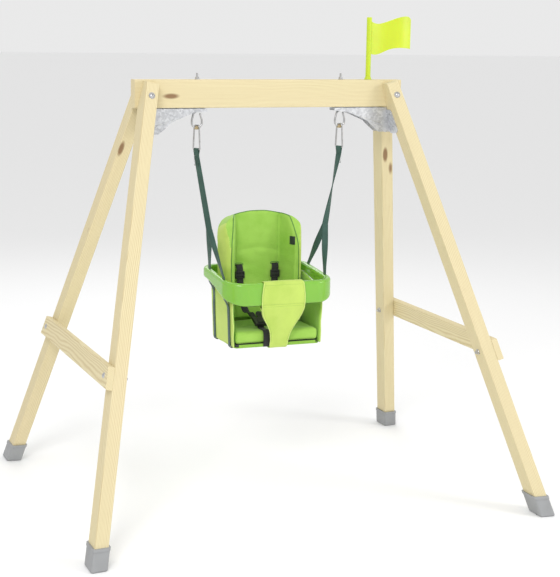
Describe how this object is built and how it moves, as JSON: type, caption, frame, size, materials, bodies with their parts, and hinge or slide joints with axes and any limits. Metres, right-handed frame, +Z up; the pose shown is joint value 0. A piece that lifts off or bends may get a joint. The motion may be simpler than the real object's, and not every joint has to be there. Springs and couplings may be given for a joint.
{
  "type": "toddler bucket swing",
  "caption": "Padded fabric bucket seat with a guard ring, hung on webbing from hooks under a small wooden A-frame with steel corner brackets and a turning flag.",
  "frame": {"origin": "on the ground under the middle of the beam", "axes": "+X along the beam, +Z up, the child faces -Y"},
  "size_m": [1.6328, 1.3122, 1.676],
  "materials": {
    "timber": "planed and treated softwood with slightly rounded edges",
    "foot_grey": "moulded grey plastic",
    "pressed_steel": "galvanised sheet",
    "zinc_steel": "zinc-plated",
    "bush_tan": "tan wear bush",
    "webbing_green": "woven dark green webbing",
    "webbing_black": "woven black webbing",
    "ring_green": "glossy moulded plastic",
    "fabric_green": "padded woven fabric",
    "fabric_lime": "lighter woven fabric",
    "base_fabric": "tough woven fabric",
    "board": "stiff board inside the seat",
    "buckle_black": "moulded black plastic",
    "flag_lime": "moulded plastic",
    "label_dark": "small blank woven tag"
  },
  "bodies": {
    "frame": {"beam": "timber", "brace_left": "timber", "brace_right": "timber", "leg_front_left": "timber", "leg_front_right": "timber", "leg_rear_left": "timber", "leg_rear_right": "timber", "foot_cap_front_left": "foot_grey", "foot_cap_front_right": "foot_grey", "foot_cap_rear_left": "foot_grey", "foot_cap_rear_right": "foot_grey", "bracket_left": "pressed_steel", "bracket_right": "pressed_steel", "leg_screws": "zinc_steel", "leg_washers": "zinc_steel", "brace_bolts": "zinc_steel", "brace_washers": "zinc_steel", "brace_nuts": "zinc_steel", "bracket_screws": "zinc_steel", "hook_washers": "zinc_steel", "hook_nuts": "zinc_steel", "hook_left": "zinc_steel", "hook_right": "zinc_steel", "flag_peg": "zinc_steel", "hook_bush_left": "bush_tan", "hook_bush_right": "bush_tan"},
    "swing_seat": {"snap_hook_left": "zinc_steel", "snap_hook_right": "zinc_steel", "strap_loop_left": "webbing_green", "strap_loop_right": "webbing_green", "strap_front_left": "webbing_green", "strap_front_right": "webbing_green", "strap_rear_left": "webbing_green", "strap_rear_right": "webbing_green", "shoulder_strap_left": "webbing_black", "shoulder_strap_right": "webbing_black", "crotch_strap": "webbing_black", "guard_ring": "ring_green", "back_pad": "fabric_green", "seat_cushion": "fabric_green", "side_panel_left": "fabric_lime", "side_panel_right": "fabric_lime", "crotch_panel": "fabric_lime", "base_cover": "base_fabric", "back_panel": "base_fabric", "seat_board": "board", "buckle_tongue_left": "buckle_black", "buckle_tongue_right": "buckle_black", "buckle_body": "buckle_black", "blank_label": "label_dark"},
    "gate_left": {"snap_gate_left": "zinc_steel", "gate_pin_left": "zinc_steel"},
    "gate_right": {"snap_gate_right": "zinc_steel", "gate_pin_right": "zinc_steel"},
    "adjuster_left": {"adjuster_left": "buckle_black"},
    "adjuster_right": {"adjuster_right": "buckle_black"},
    "buckle_button": {"buckle_button": "buckle_black"},
    "flag": {"flag_pole": "flag_lime", "flag_panel": "flag_lime"}
  },
  "joints": [
    {"name": "swing", "type": "hinge", "parent": "frame", "child": "swing_seat", "pos_m": [0, 0, 1.2905], "axis": [1, 0, 0], "range_deg": [-45, 45]},
    {"name": "gate_left_open", "type": "hinge", "parent": "swing_seat", "child": "gate_left", "pos_m": [-0.25926, -0.01268, 1.238], "axis": [0.8829, 0.4695, 0], "range_deg": [-22, 0], "stiffness_Nm_per_rad": 0.05, "springref_deg": 11.46},
    {"name": "gate_right_open", "type": "hinge", "parent": "swing_seat", "child": "gate_right", "pos_m": [0.27274, -0.01268, 1.238], "axis": [0.8829, 0.4695, 0], "range_deg": [-22, 0], "stiffness_Nm_per_rad": 0.05, "springref_deg": 11.46},
    {"name": "adjuster_left_slide", "type": "slide", "parent": "swing_seat", "child": "adjuster_left", "axis": [-0.0405, 0.0147, 0.9991], "range_m": [-0.01, 0.006]},
    {"name": "adjuster_right_slide", "type": "slide", "parent": "swing_seat", "child": "adjuster_right", "axis": [0.0405, 0.0147, 0.9991], "range_m": [-0.01, 0.006]},
    {"name": "button_press", "type": "slide", "parent": "swing_seat", "child": "buckle_button", "axis": [0, 0.4226, -0.9063], "range_m": [0, 0.0025], "stiffness_N_per_m": 600, "springref_m": -0.001},
    {"name": "flag_turn", "type": "hinge", "parent": "frame", "child": "flag", "pos_m": [0.372, 0, 1.46], "axis": [0, 0, 1], "continuous": true}
  ]
}
